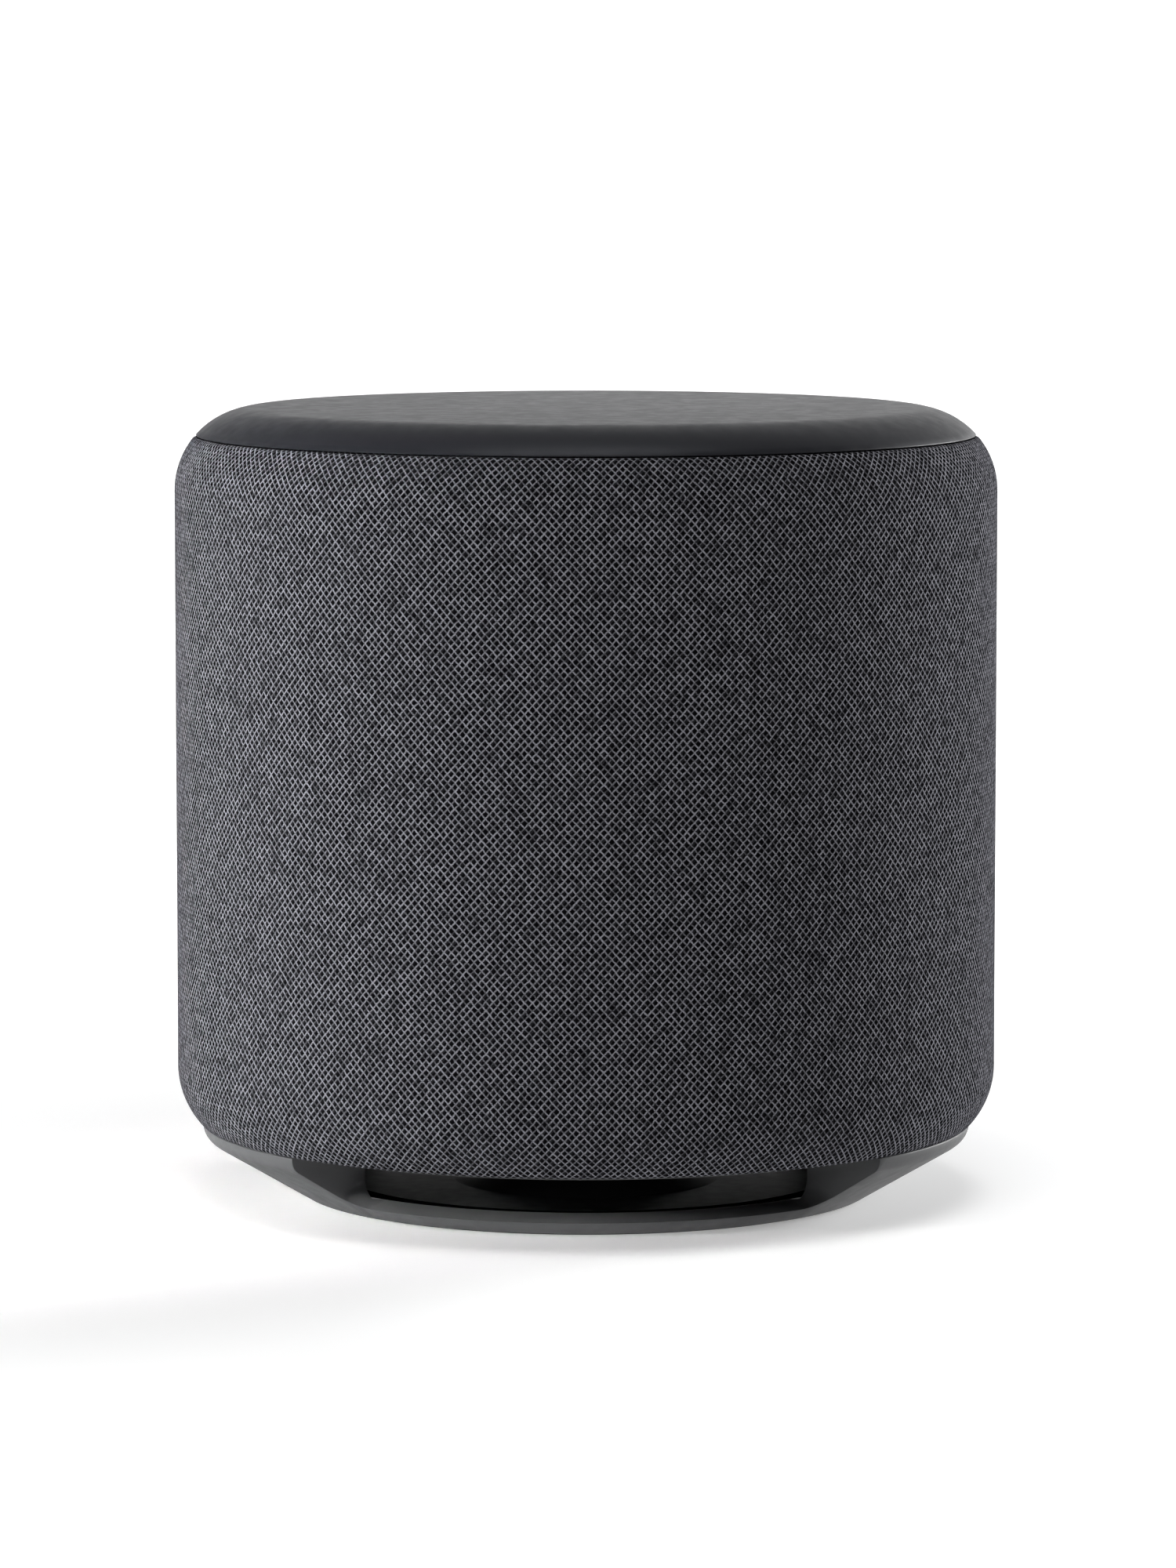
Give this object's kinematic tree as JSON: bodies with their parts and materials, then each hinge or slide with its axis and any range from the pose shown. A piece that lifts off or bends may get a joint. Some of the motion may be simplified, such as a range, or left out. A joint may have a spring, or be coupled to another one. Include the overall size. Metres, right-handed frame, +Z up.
{
  "type": "smart speaker",
  "caption": "Fabric-wrapped cylindrical wireless bass speaker with a smooth flat cap and a slotted plastic base; a down-firing woofer inside and a mains inlet with a push button at the rear.",
  "frame": {"origin": "centre of the foot's underside, at the bottom of the bounding box", "axes": "+Z up along the body's axis, -Y the front with the visible slot, +Y the rear with the mains inlet, +X to the right seen from the front"},
  "size_m": [0.21, 0.2107, 0.202],
  "materials": {
    "cap_plastic": "satin",
    "fabric_melange": "knitted",
    "base_plastic": "satin",
    "black_plastic": "matte",
    "gloss_black": "gloss",
    "foot_rubber": "matte",
    "gasket_foam": "matte",
    "screw_steel": "zinc plated",
    "contact_brass": "bright",
    "lens_plastic": "frosted",
    "basket_metal": "satin",
    "surround_rubber": "matte",
    "cone_paper": "coated",
    "former_aluminium": "plain",
    "copper_winding": "enamelled",
    "spider_cloth": "treated cloth",
    "zinc_steel": "zinc plated",
    "ferrite": "matte",
    "phenolic": "matte",
    "tray_steel": "galvanised",
    "standoff_brass": "plain",
    "circuit_board": "solder mask",
    "component_black": "moulded",
    "heatsink_aluminium": "anodised",
    "shield_can": "tin plated",
    "transformer_tape": "polyester tape",
    "capacitor_sleeve": "shrink sleeve",
    "wire_insulation": "pvc",
    "wadding": "polyester wadding"
  },
  "bodies": {
    "housing": {"top_cap": "cap_plastic", "fabric_clamp_ring": "black_plastic", "fabric_sleeve": "fabric_melange", "enclosure_tub": "black_plastic", "enclosure_lid": "black_plastic", "lid_gasket": "gasket_foam", "lid_screws": "screw_steel", "base_housing": "base_plastic", "base_screws": "screw_steel", "bottom_plate": "black_plastic", "bottom_plate_screws": "screw_steel", "rubber_foot": "foot_rubber", "rear_io_bezel": "black_plastic", "bezel_screws": "screw_steel", "ac_inlet_body": "black_plastic", "ac_inlet_pins": "contact_brass", "status_led_lens": "lens_plastic", "tact_switch_body": "component_black", "button_board": "circuit_board", "button_board_screws": "screw_steel", "woofer_basket": "basket_metal", "woofer_gasket": "gasket_foam", "woofer_surround": "surround_rubber", "spider": "spider_cloth", "magnet_top_plate": "zinc_steel", "ferrite_magnet": "ferrite", "t_yoke": "zinc_steel", "woofer_terminals": "phenolic", "tinsel_leads": "copper_winding", "woofer_screws": "screw_steel", "electronics_chassis": "tray_steel", "chassis_screws": "screw_steel", "board_standoffs": "standoff_brass", "board_screws": "screw_steel", "amplifier_board": "circuit_board", "amplifier_components": "component_black", "amplifier_heatsink": "heatsink_aluminium", "wireless_module": "shield_can", "power_supply_board": "circuit_board", "psu_transformer": "transformer_tape", "psu_capacitors": "capacitor_sleeve", "psu_components": "component_black", "antenna_boards": "circuit_board", "antenna_cables": "wire_insulation", "speaker_wires": "wire_insulation", "mains_wires": "wire_insulation", "button_cable": "wire_insulation", "acoustic_damping": "wadding"},
    "cone_assembly": {"woofer_cone": "cone_paper", "dust_cap": "cone_paper", "voice_coil_former": "former_aluminium", "voice_coil_winding": "copper_winding"},
    "action_button": {"action_button": "gloss_black", "tact_switch_plunger": "black_plastic"}
  },
  "joints": [
    {"name": "woofer_excursion", "type": "slide", "parent": "housing", "child": "cone_assembly", "axis": [0, 0, 1], "range_m": [-0.006, 0.006], "stiffness_N_per_m": 1500, "deforming": ["woofer_surround", "spider", "tinsel_leads"]},
    {"name": "action_button_press", "type": "slide", "parent": "housing", "child": "action_button", "axis": [0, -1, 0], "range_m": [0, 0.0005], "stiffness_N_per_m": 1500}
  ]
}
